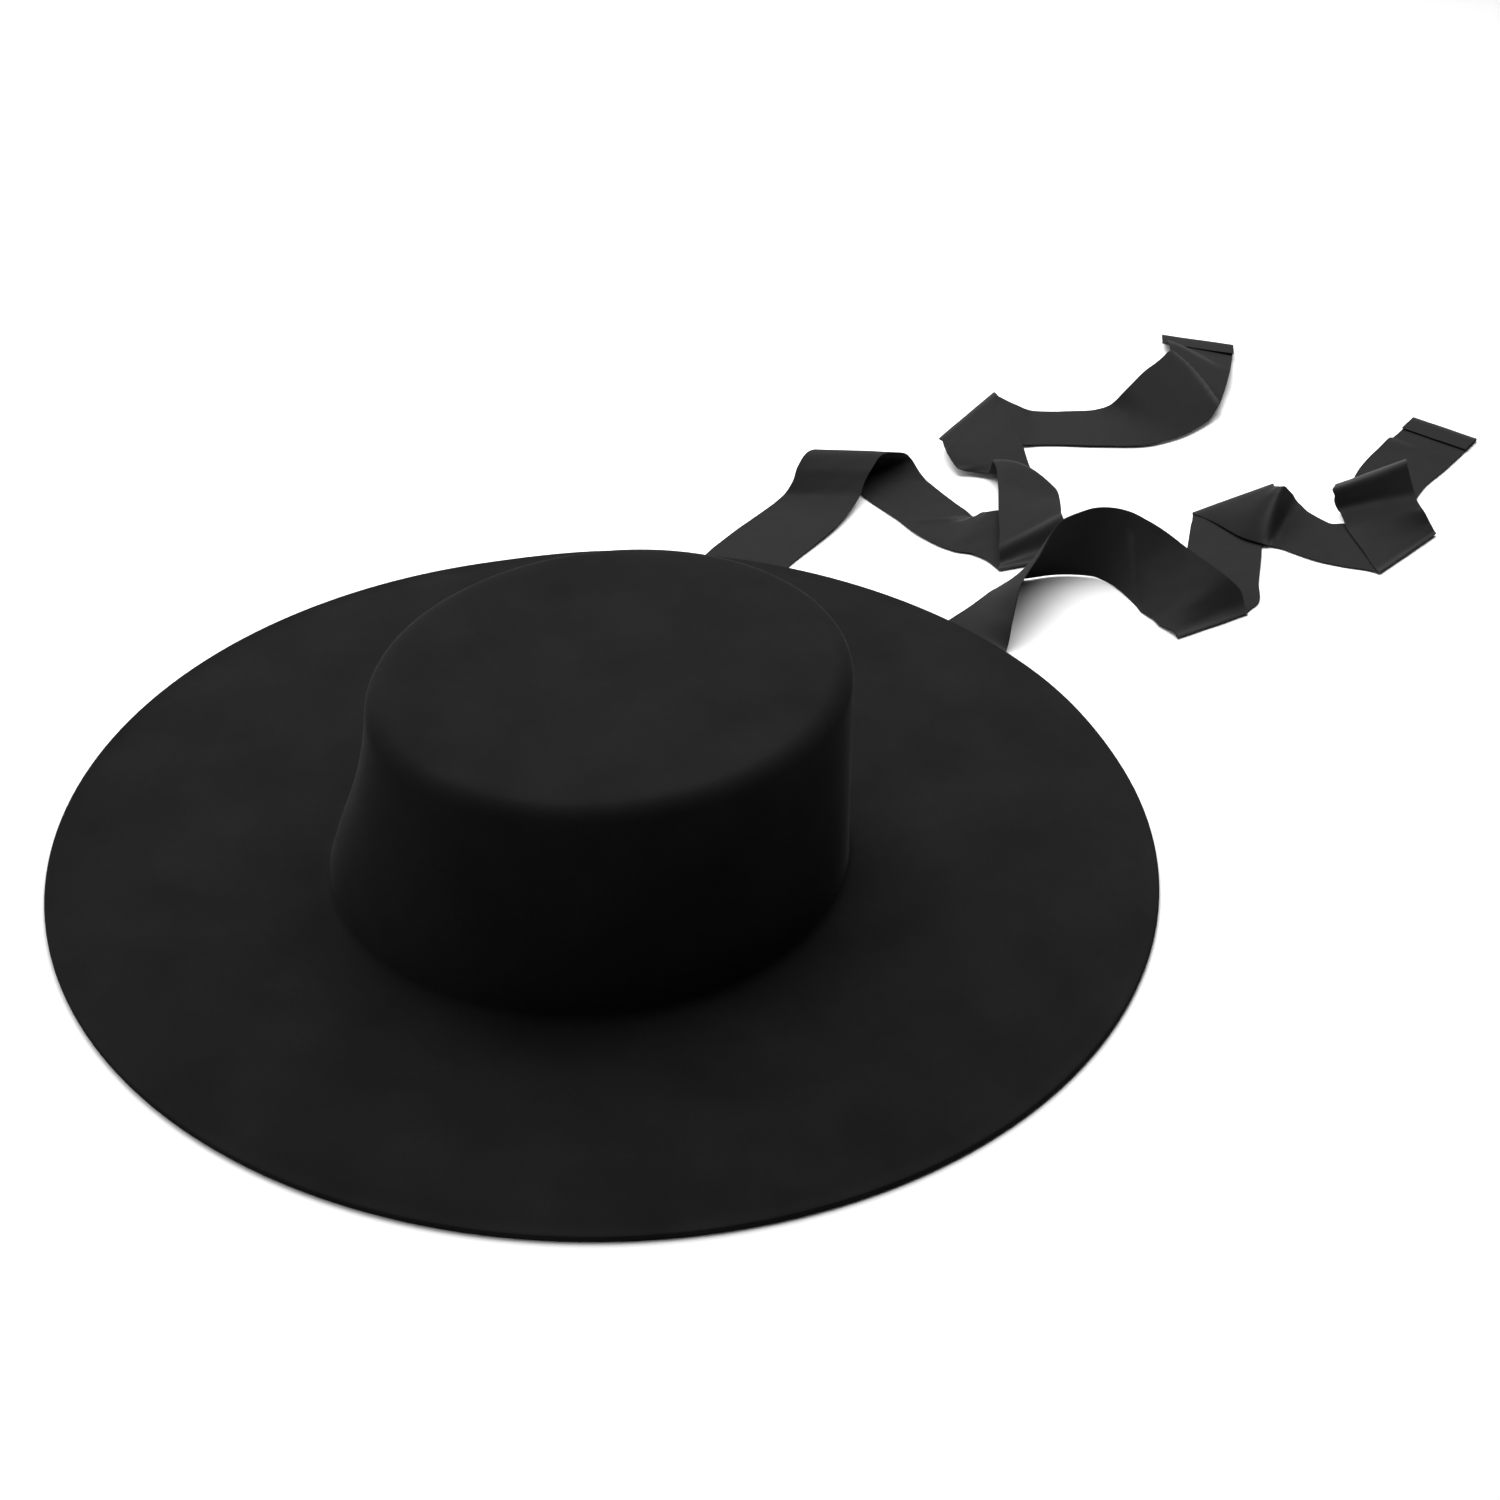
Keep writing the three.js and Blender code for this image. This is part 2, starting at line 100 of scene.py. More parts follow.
class FeltSettings(PropertyGroup):
    """Sizes and finish of the blocked felt."""

    thickness: size("Thickness", "Thickness of the felt", 2.4 * MM)
    base_half_width: size("Base half width", "Half width of the crown where it meets the brim",
                          93.5 * MM)
    base_half_length: size("Base half length", "Half length of the crown where it meets the brim",
                           99.5 * MM)
    tip_half_width: size("Tip half width", "Half width of the flat tip", 82.5 * MM)
    tip_half_length: size("Tip half length", "Half length of the flat tip", 94 * MM)
    tip_shift_side: size("Tip sideways", "How far the tip sits to the wearer's left", 1 * MM)
    tip_shift_back: size("Tip back", "How far the tip sits towards the back", 9 * MM)
    tip_edge_radius: size("Tip edge radius", "Radius where the tip turns down", 8.5 * MM)
    tip_sag: size("Tip sag", "How far the middle of the tip lies below its edge", 1.2 * MM)
    base_fillet_radius: size("Base radius", "Radius where the crown turns out to the brim", 4 * MM)
    tie_lift: size("Tie lift", "How far the brim is lifted over the ties", 1.7 * MM)
    edge_rounding: size("Edge rounding", "Rounding of the cut edge of the brim", 0.9 * MM)
    unevenness: size("Unevenness", "How far the felt wanders from its block", 0.35 * MM)
    steps_around: IntProperty(name="Steps around", description="Faces around the hat", default=96)
    nap_spacing: size("Nap spacing", "Spacing of the tufts of the brushed nap", 1.1 * MM)
    fibre_spacing: size("Fibre spacing", "Spacing of the matted fibres", 0.5 * MM)
    mottle_size: size("Mottle size", "Size of the lighter and darker patches", 38 * MM)
    dark: colour("Dark", "Colour of the darker patches", "#161616")
    light: colour("Light", "Colour of the lighter patches", "#202020")
    roughness: share("Roughness", "Roughness of the felt", 0.95)
    fuzz: share("Fuzz", "How much the standing fibres catch light", 0.05)


class RibbonSettings(PropertyGroup):
    """Sizes and finish of the ribbon ties."""

    width: size("Width", "Width of the ribbon", 33 * MM)
    thickness: size("Thickness", "Thickness of the ribbon", 0.4 * MM)
    hem_depth: size("Hem depth", "How far the free end is turned over", 11 * MM)
    hem_gap: size("Hem gap", "Height of the turned layer above the ribbon", 0.85 * MM)
    sewn_height: size("Sewn height", "Height of the sewn end inside the crown", 28 * MM)
    step: size("Step", "Length of one face along the ribbon", 0.85 * MM)
    columns: IntProperty(name="Columns", description="Faces across the ribbon", default=30)
    creasing: size("Creasing", "Height of the fine creases", 0.22 * MM)
    thread_spacing: size("Thread spacing", "Spacing of the threads of the weave", 0.7 * MM)
    dark: colour("Dark", "Colour between the threads", "#1f1f1f")
    light: colour("Light", "Colour of the threads", "#272727")
    # Painted highlight: a paler colour laid on sharp folds, standing in for the light glinting along
    # them.
    painted_fold_highlight: colour("Painted fold highlight", "Colour where folding has polished the threads", "#404040")
    roughness: share("Roughness", "Roughness of the ribbon", 0.8)
    fuzz: share("Fuzz", "How much loose fibres catch light", 0.02)


class StageSettings(PropertyGroup):
    """Floor, lights and camera."""

    azimuth: FloatProperty(name="Azimuth", description="Side that the camera looks from",
                           default=math.radians(50), subtype="ANGLE")
    pitch: FloatProperty(name="Pitch", description="How far the camera looks down",
                         default=math.radians(36.22), subtype="ANGLE")
    roll: FloatProperty(name="Roll", description="Tilt of the camera about its view",
                        default=math.radians(1.29), subtype="ANGLE")
    distance: size("Distance", "Distance from the camera to the point it looks at", 1571.3 * MM)
    aim_side: size("Aim sideways", "Point looked at, from the middle of the model", -21.9 * MM)
    aim_back: size("Aim back", "Point looked at, from the middle of the model", -50 * MM)
    lens: FloatProperty(name="Lens", description="Focal length", default=96, unit="CAMERA")
    floor_size: size("Floor", "Length of the floor's sides", 80.0)
    floor_colour: colour("Floor colour", "Colour of the floor", "#f6f6f6")
    key_power: FloatProperty(name="Key", description="Power of the overhead softbox",
                             default=8.1, unit="POWER")
    key_size: size("Key size", "Width of the overhead softbox", 0.8)
    key_height: size("Key height", "Height of the overhead softbox", 0.6)
    key_away: size("Key away", "How far the softbox hangs behind the hat", 0.4)
    key_right: size("Key right", "How far the softbox hangs to the right", 0.12)
    room_strength: FloatProperty(name="Room", description="Strength of the light of the pale room",
                                 default=2.45)
    backdrop_strength: FloatProperty(name="Backdrop", default=1.0,
                                     description="Strength of the light off the lit backdrop")
    fill_strength: FloatProperty(name="Fill", description="Strength of the light from all round",
                                 default=0.02)


# ---------------------------------------------------------------------------------------------
# Helpers


def add_node(tree, kind, inputs=None, **settings):
    """A node with its settings, and its inputs set to values or linked to other nodes' outputs."""
    node = tree.nodes.new(kind)
    for name, value in settings.items():
        setattr(node, name, value)
    for name, value in (inputs or {}).items():
        if isinstance(value, bpy.types.NodeSocket):
            tree.links.new(value, node.inputs[name])
        else:
            node.inputs[name].default_value = value
    return node


def new_material(name):
    material = bpy.data.materials.new(name)
    material.use_nodes = True
    material.node_tree.nodes.clear()
    return material, material.node_tree


def deselect_all():
    if bpy.context.object and bpy.context.object.mode != "OBJECT":
        bpy.ops.object.mode_set(mode="OBJECT")
    bpy.ops.object.select_all(action="DESELECT")


def make_active(piece):
    deselect_all()
    piece.select_set(True)
    bpy.context.view_layer.objects.active = piece


def apply_modifiers(piece):
    make_active(piece)
    for modifier in list(piece.modifiers):
        bpy.ops.object.modifier_apply(modifier=modifier.name)


def mesh_points(piece):
    points = np.zeros(len(piece.data.vertices) * 3)
    piece.data.vertices.foreach_get("co", points)
    return points.reshape(-1, 3)


def set_mesh_points(piece, points):
    piece.data.vertices.foreach_set("co", np.asarray(points, float).ravel())
    piece.data.update()


def hand_over(piece, node):
    """Puts a finished piece on the frame, in the place of the CAD node that it stands for."""
    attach(piece, "root")
    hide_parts(node)


def smooth_step(low, high, value):
    """Goes smoothly from 0 at low to 1 at high, whichever of the two is larger."""
    t = np.clip((value - low) / (high - low), 0, 1)
    return t * t * (3 - 2 * t)


def wander(points, spacing, offset=0.0):
    """Smooth unevenness from -1 to 1 at each point, with hills about one spacing apart."""
    shift = Vector((offset, 2 * offset, 3 * offset))
    return np.array([noise.noise(Vector(p) / spacing + shift) for p in points])


# ---------------------------------------------------------------------------------------------
# Materials


def brushed_wool_felt(felt):
    """Wool felt, fulled, blocked and brushed: matt black, with a short matted nap that softens
    every edge, patches that lie a little lighter or darker, and a faint glow at grazing angles."""
    material, tree = new_material("brushed_wool_felt")
    place = add_node(tree, "ShaderNodeTexCoord").outputs["Object"]
    patches = add_node(tree, "ShaderNodeTexNoise", {
        "Vector": place, "Scale": 1 / felt.mottle_size, "Detail": 3.0, "Roughness": 0.55})
    # Fibres are about 0.02 mm across, so the nap is drawn as the tufts that they mat into.
    nap = add_node(tree, "ShaderNodeTexNoise", {
        "Vector": place, "Scale": 1 / felt.nap_spacing, "Detail": 4.0, "Roughness": 0.65,
        "Distortion": 0.8})
    fibres = add_node(tree, "ShaderNodeTexNoise", {
        "Vector": place, "Scale": 1 / felt.fibre_spacing, "Detail": 2.0, "Distortion": 2.5})
    tone = add_node(tree, "ShaderNodeMapRange", {
        "Value": patches.outputs["Fac"], "From Min": 0.3, "From Max": 0.7})
    fleck = add_node(tree, "ShaderNodeMapRange", {
        "Value": nap.outputs["Fac"], "From Min": 0.25, "From Max": 0.75,
        "To Min": 0.3, "To Max": 0.7})
    blend = add_node(tree, "ShaderNodeMath", {0: tone.outputs[0], 1: fleck.outputs[0]},
                     operation="MULTIPLY_ADD")
    blend.inputs[2].default_value = 0.15
    hue = add_node(tree, "ShaderNodeMix", {
        "Factor": blend.outputs[0], "A": (*felt.dark, 1), "B": (*felt.light, 1)},
        data_type="RGBA")
    tufts = add_node(tree, "ShaderNodeBump", {
        "Height": nap.outputs["Fac"], "Strength": 0.35, "Distance": 0.25 * felt.nap_spacing})
    surface = add_node(tree, "ShaderNodeBump", {
        "Height": fibres.outputs["Fac"], "Strength": 0.3, "Distance": 0.2 * felt.fibre_spacing,
        "Normal": tufts.outputs["Normal"]})
    shader = add_node(tree, "ShaderNodeBsdfPrincipled", {
        "Base Color": hue.outputs["Result"], "Roughness": felt.roughness,
        "Specular IOR Level": 0.02, "Sheen Weight": felt.fuzz, "Sheen Roughness": 0.2,
        "Normal": surface.outputs["Normal"]})
    add_node(tree, "ShaderNodeOutputMaterial", {"Surface": shader.outputs["BSDF"]})
    return material


def woven_ribbon(ribbon):
    """Plain-woven cotton ribbon, dyed black: matt, with fine crossing threads that lie along and
    across it, and slightly lighter than the felt where it faces the light."""
    material, tree = new_material("woven_cotton_ribbon")
    place = add_node(tree, "ShaderNodeUVMap", uv_map="weave").outputs["UV"]
    split = add_node(tree, "ShaderNodeSeparateXYZ", {"Vector": place})
    turns = 2 * math.pi / ribbon.thread_spacing
    waves = {}
    for axis in ("X", "Y"):
        angle = add_node(tree, "ShaderNodeMath", {0: split.outputs[axis], 1: turns},
                         operation="MULTIPLY")
        waves[axis] = add_node(tree, "ShaderNodeMath", {0: angle.outputs[0]},
                               operation="SINE").outputs[0]
    # The threads are about 0.2 mm apart, and are drawn coarser so that they show.
    threads = add_node(tree, "ShaderNodeMath", {0: waves["X"], 1: waves["Y"]},
                       operation="MULTIPLY").outputs[0]
    slub = add_node(tree, "ShaderNodeTexNoise", {
        "Vector": place, "Scale": 1 / (6 * MM), "Detail": 4.0, "Roughness": 0.6})
    tone = add_node(tree, "ShaderNodeMapRange", {
        "Value": threads, "From Min": -1.0, "From Max": 1.0, "To Min": 0.25, "To Max": 0.6})
    blend = add_node(tree, "ShaderNodeMath", {0: slub.outputs["Fac"], 1: 0.5,
                                              2: tone.outputs[0]}, operation="MULTIPLY_ADD")
    hue = add_node(tree, "ShaderNodeMix", {
        "Factor": blend.outputs[0], "A": (*ribbon.dark, 1), "B": (*ribbon.light, 1)},
        data_type="RGBA")
    # Sharp folds get a painted highlight: their colour is mixed towards a paler one that stands in
    # for the light glinting along them.
    painted_fold_highlight = add_node(tree, "ShaderNodeAttribute", attribute_name="painted_fold_highlight")
    hue = add_node(tree, "ShaderNodeMix", {
        "Factor": painted_fold_highlight.outputs["Fac"], "A": hue.outputs["Result"], "B": (*ribbon.painted_fold_highlight, 1)},
        data_type="RGBA")
    surface = add_node(tree, "ShaderNodeBump", {
        "Height": threads, "Strength": 0.25, "Distance": 0.1 * ribbon.thread_spacing})
    shader = add_node(tree, "ShaderNodeBsdfPrincipled", {
        "Base Color": hue.outputs["Result"], "Roughness": ribbon.roughness,
        "Specular IOR Level": 0.02, "Sheen Weight": ribbon.fuzz, "Sheen Roughness": 0.2,
        "Normal": surface.outputs["Normal"]})
    add_node(tree, "ShaderNodeOutputMaterial", {"Surface": shader.outputs["BSDF"]})
    return material


def matt_paper(stage):
    """Seamless backdrop paper: plain and matt, so that it gives back an even light."""
    material, tree = new_material("matt_backdrop_paper")
    shader = add_node(tree, "ShaderNodeBsdfDiffuse", {"Color": (*stage.floor_colour, 1)})
    add_node(tree, "ShaderNodeOutputMaterial", {"Surface": shader.outputs["BSDF"]})
    return material


# ---------------------------------------------------------------------------------------------
# Felt body


def mix_oval(a, b, t):
    """Oval part of the way from oval a to oval b, each as centre x, y and half width, length."""
    return tuple((1 - t) * p + t * q for p, q in zip(a, b))


def grown(oval, amount):
    """The oval, wider and longer by an amount on every side."""
    return (oval[0], oval[1], oval[2] + amount, oval[3] + amount)


def felt_ovals(felt):
    """The three ovals that the felt is blocked to: base, tip and outer edge of the brim."""
    base = (0.0, 0.0, felt.base_half_width, felt.base_half_length)
    tip = (felt.tip_shift_side, felt.tip_shift_back, felt.tip_half_width, felt.tip_half_length)
    brim = (
        (FELT_LOW.x + FELT_HIGH.x) / 2,
        (FELT_LOW.y + FELT_HIGH.y) / 2,
        (FELT_HIGH.x - FELT_LOW.x) / 2,
        (FELT_HIGH.y - FELT_LOW.y) / 2,
    )
    return base, tip, brim


# Tip: how far from its middle (0) to its edge (1) the inner rings lie.
TIP_RINGS = (0.12, 0.28, 0.44, 0.6, 0.75)

# Side wall: how far the section has moved from the base oval to the tip oval at each height.
WALL_ROWS = (
    {"z": 71 * MM, "to_tip": 0.975},
    {"z": 64 * MM, "to_tip": 0.93},
    {"z": 48 * MM, "to_tip": 0.76},
    {"z": 32 * MM, "to_tip": 0.48},
    {"z": 20 * MM, "to_tip": 0.2},
)

# Brim: height of the underside at the crown, and on the way from the base oval (0) to the outer
# edge (1).
BRIM_UNDERSIDE = 2.4 * MM
BRIM_ROWS = (
    {"out": 0.12, "z": 2.4 * MM},
    {"out": 0.2, "z": 2.4 * MM},
    {"out": 0.3, "z": 2.5 * MM},
    {"out": 0.4, "z": 2.6 * MM},
    {"out": 0.5, "z": 2.55 * MM},
    {"out": 0.6, "z": 2.4 * MM},
    {"out": 0.7, "z": 2.15 * MM},
    {"out": 0.78, "z": 1.8 * MM},
    {"out": 0.85, "z": 1.35 * MM},
    {"out": 0.9, "z": 0.9 * MM},
    {"out": 0.935, "z": 0.4 * MM},
    {"out": 0.955, "z": 0.05 * MM},
    {"out": 0.975, "z": 0.0 * MM},
    {"out": 1.0, "z": 0.0 * MM},
)


def felt_rings(felt):
    """Oval and height of each ring of the outer face, from the tip's middle to the brim's edge."""
    base, tip, brim = felt_ovals(felt)
    crown_height = FELT_HIGH.z
    brim_top = BRIM_UNDERSIDE + felt.thickness
    middle = (tip[0], tip[1], 0.0, 0.0)
    rings = [(mix_oval(middle, tip, t), crown_height) for t in TIP_RINGS]
    for turn in (0, 18, 36, 54, 72, 90):
        a = math.radians(turn)
        grow = felt.tip_edge_radius * (math.sin(a) - 1)
        z = crown_height + felt.tip_edge_radius * (math.cos(a) - 1)
        rings.append((grown(tip, grow), z))
    for row in WALL_ROWS:
        rings.append((mix_oval(base, tip, row["to_tip"]), row["z"]))
    for turn in (0, 22.5, 45, 67.5, 90):
        a = math.radians(turn)
        grow = felt.base_fillet_radius * (1 - math.cos(a))
        z = brim_top + felt.base_fillet_radius * (1 - math.sin(a))
        rings.append((grown(base, grow), z))
    for row in BRIM_ROWS:
        rings.append((mix_oval(base, brim, row["out"]), row["z"] + felt.thickness))
    return rings


def extrude_ring(old, new):
    """Extrudes the selected edge loop from one oval and height to the next."""
    (old_oval, old_z), (new_oval, new_z) = old, new
    move = (new_oval[0] - old_oval[0], new_oval[1] - old_oval[1], new_z - old_z)
    bpy.ops.mesh.extrude_region_move(TRANSFORM_OT_translate={"value": move})
    bpy.ops.transform.resize(
        value=(new_oval[2] / old_oval[2], new_oval[3] / old_oval[3], 1),
        center_override=(new_oval[0], new_oval[1], new_z))


def block_felt(felt):
    """The felt's outer face, drawn down from the middle of the tip ring by ring."""
    deselect_all()
    rings = felt_rings(felt)
    first, z = rings[0]
    bpy.ops.mesh.primitive_circle_add(vertices=felt.steps_around, radius=1, fill_type="TRIFAN")
    piece = bpy.context.object
    piece.name = "felt_hat_body"
    bpy.ops.object.mode_set(mode="EDIT")
    bpy.ops.transform.resize(value=(first[2], first[3], 1), center_override=(0, 0, 0))
    bpy.ops.transform.translate(value=(first[0], first[1], z))
    bpy.ops.mesh.select_mode(type="EDGE")
    bpy.ops.mesh.region_to_loop()
    for old, new in zip(rings, rings[1:]):
        extrude_ring(old, new)
    bpy.ops.mesh.select_all(action="SELECT")
    bpy.ops.mesh.normals_make_consistent(inside=False)
    bpy.ops.object.mode_set(mode="OBJECT")
    top = max(piece.data.polygons, key=lambda face: face.center.z)
    if top.normal.z < 0:
        piece.data.flip_normals()
    return piece


# Where the felt leaves its block. Each pair of numbers is a start and an end, between which a move
# fades in: heights in the frame, places from an oval's middle (0) to its edge (1) or past it, and
# degrees round the head opening, where the lift over the ties fades in and then out.
TIP_HEIGHTS = (70 * MM, 80 * MM)
TIP_SAG_REACH = (1.0, 0.85)
TIP_UNEVEN_REACH = (0.93, 0.6)
BRIM_HEIGHTS = (30 * MM, 12 * MM)
BRIM_REACH = (1.1, 1.6)
RIM_REACH = (0.8, 0.93)
TIES_FROM = (68, 86)
TIES_TO = (137, 155)
PIP_HEIGHT = 0.45 * MM
PIP_RADIUS = 4 * MM
UNEVEN_SPACING = 62 * MM


def reach(oval, x, y):
    """How far out each point lies: 0 in the middle of the oval and 1 on its edge."""
    return np.hypot((x - oval[0]) / oval[2], (y - oval[1]) / oval[3])


def settle_felt(piece, felt):
    """Moves the felt off its block: the sagging tip with its pip, the lift over the ties and the
    slow unevenness of steamed wool."""
    base, tip, brim = felt_ovals(felt)
    points = mesh_points(piece)
    x, y, z = points.T
    uneven = felt.unevenness * wander(points, UNEVEN_SPACING)
    on_top = smooth_step(*TIP_HEIGHTS, z)
    from_tip = reach(tip, x, y)
    on_tip = smooth_step(*TIP_UNEVEN_REACH, from_tip) * on_top
    sag = felt.tip_sag * (1 - from_tip ** 2) * smooth_step(*TIP_SAG_REACH, from_tip) * on_top
    pip = PIP_HEIGHT * np.exp(-((x - tip[0]) ** 2 + (y - tip[1]) ** 2) / (2 * PIP_RADIUS ** 2))
    angle = np.degrees(np.arctan2(y, x))
    near_ties = smooth_step(*TIES_FROM, angle) * (1 - smooth_step(*TIES_TO, angle))
    on_brim = smooth_step(*BRIM_REACH, reach(base, x, y)) * smooth_step(*BRIM_HEIGHTS, z)
    near_rim = smooth_step(*RIM_REACH, reach(brim, x, y))
    z = z - sag + on_tip * uneven - pip * on_tip
    z = z + on_brim * (felt.tie_lift * near_ties + uneven * (1 - near_rim))
    set_mesh_points(piece, np.column_stack([x, y, z]))


class HAT_OT_felt_body(Operator):
    """Build the crown and brim from one felt hood"""

    bl_idname = "hat.felt_body"
    bl_label = "Felt body"
    bl_options = {"REGISTER", "UNDO"}

    def execute(self, context):
        felt = context.scene.hat_felt
        piece = block_felt(felt)
        wall = piece.modifiers.new("wall", "SOLIDIFY")
        wall.thickness = felt.thickness
        wall.offset = -1
        wall.use_even_offset = True
        rounding = piece.modifiers.new("cut edge", "BEVEL")
        rounding.width = felt.edge_rounding
        rounding.segments = 3
        rounding.limit_method = "ANGLE"
        rounding.angle_limit = SHARP_EDGE
        fine = piece.modifiers.new("fine", "SUBSURF")
        fine.levels = fine.render_levels = 1
        apply_modifiers(piece)
        settle_felt(piece, felt)
        make_active(piece)
        bpy.ops.object.shade_smooth()
        piece.data.materials.append(brushed_wool_felt(felt))
        hand_over(piece, "felt_body")
        return {"FINISHED"}


# ---------------------------------------------------------------------------------------------
# Ribbon ties

# The ties are laid out on lines of their own, turned from the hat's axes about this point.
LAY_CENTRE = (-0.4 * MM, 7.5 * MM)
LAY_TURN = math.radians(50)

# The sewn end: how far it lies in from the felt, the gap that it leaves at the turn under the brim,
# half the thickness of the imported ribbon, and how much of the turn it follows (1 is a right angle).
SEWN_INSET = 3.2 * MM
TURN_GAP = 0.9 * MM
PACKED_HALF_THICKNESS = 0.5 * MM
TURN_PARTS = (0, 0.3, 0.6, 0.85)

# Each row is one line across the ribbon in millimetres, from its left edge to its right edge as it
# runs from the hat to its free end. A rise marks a fold: the ribbon turns back there, and the next
# stretch lies that much higher or lower at its left and right edge. A belly moves the line's middle.
ROW_COLUMNS = ("lx", "ly", "lz", "rx", "ry", "rz", "rise_l", "rise_r", "belly_y", "belly_z")
# Each pressed crease is a line on the lay-out, on the stretch between two of the rows: its ends, how
# far it stands up, and how far it takes to fall away on its left and on its right side, in
# millimetres. One that stands up by less than nothing is a groove.
CREASE_COLUMNS = ("first", "last", "x0", "y0", "x1", "y1", "height", "left", "right")
# A tie is sewn in at an angle round the head opening, from the wearer's left to the back, and its hem
# is turned to one side of the ribbon (1) or to the other (-1).
LEFT_TIE = {
    "name": "ribbon_tie_left",
    "sewn_at": math.radians(129),
    "hem_side": -1,
    "rows": (
        # Out from under the brim.
        (10, 152, 0.9, 41, 141, 0.9),
        (36, 214, 0.7, 66, 198, 0.7),
        # Over a low hump.
        (56, 242, 0.9, 88, 231, 2),
        (65, 253, 2.5, 98, 251, 4.5),
        (69, 258, 6.5, 100, 257, 8),
        (71, 263, 11, 103, 262, 11.5),
        (75, 270, 14, 108, 270, 14),
        (79, 275.5, 12.5, 114, 274.5, 12.5),
        (82, 278.5, 8.5, 119, 278, 9),
        (85, 277.5, 4.5, 122, 277, 5.5),
        (88, 272, 2, 125, 273, 2.5),
        # Along the floor to the first fold, with the right edge puckered up.
        (93, 266, 0.8, 128, 269, 1),
        (106, 249, 0.7, 140, 252, 0.7),
        (113.5, 240, 0.8, 144, 246.5, 0.9),
        (121, 229.5, 0.9, 146.5, 242.5, 0.8),
        (128.5, 222, 0.8, 148, 242, 2),
        (137.5, 216, 0.9, 151, 238.5, 6),
        (145, 214, 1, 157.5, 238.5, 7),
        (151, 209.5, 0.9, 169.5, 232.5, 4.5),
        (156, 202, 0.7, 188, 213, 0.7, 1, 1.5),
        # Back over itself and up to a crest.
        (156.5, 204.5, 2, 187, 222, 3.2),
        (156, 210, 7.2, 183, 229.5, 11.6),
        (156.5, 216.5, 8.2, 183, 233, 11.8),
        (156.5, 233, 9.8, 183, 238, 11.4),
        (157, 252.5, 11, 183, 244.5, 10),
        (156.5, 265.5, 12, 182, 252, 9.6, 0, 0, 4.5, 2),
        (155.5, 270.5, 12, 181, 254.5, 9, 0, 0, 4.5, 2),
        (155, 272, 9.5, 179.5, 257, 7.2, 0, 0, 4.5, 1.5),
        # Down behind the crest and on to the second fold, above the next stretch.
        (154.5, 273.5, 5, 178, 260, 3.6, 0, 0, 2, 1),
        (151.5, 275, 2.2, 175.5, 267, 1.6, 0, 0, 0, 1.5),
        (146, 276, 2.4, 174, 275, 1.4, 0, 0, 0, 1.5),
        (140.5, 276.5, 4, 172, 284.5, 1.8, 0, 0, 0, 1.5),
        (136.5, 283.5, 6.5, 169.5, 300, 2.8, 0, 0, 0, 0.8),
        (135, 288.5, 7.5, 162, 330.5, 4.5),
        (133, 295.5, 7.5, 158.5, 339, 5, -1, -1),
        # Along the floor.
        (162, 299, 2.5, 169, 331.5, 2.8),
        (180, 302, 1, 177, 330.5, 0.7),
        (204, 302, 1.2, 199.5, 329, 2.5),
        # Round the wide bend, with the right edge standing up.
        (228, 304.5, 1.2, 210, 327.5, 7),
        (243, 313, 1.5, 217, 330, 14),
        (253, 323, 2, 227, 341.5, 18),
        (258, 332, 4, 235.5, 354, 18),
        # Over the pressed ridges to the free end.
        (262, 345, 4.5, 239, 368, 9),
        (265, 357, 6, 239, 378, 10),
        (268, 375, 3, 238, 387, 4),
        (270, 390, 1.2, 238, 398, 1.2),
    ),
    "creases": (
        (12, 16, 119, 236.5, 148, 242, 0.6, 6, 0.9),
        (39, 44, 230, 374, 263, 325, 2.6, 1.2, 3),
        (40, 43.2, 239, 381, 274, 358, 2.4, 3, 1.5),
    ),
}
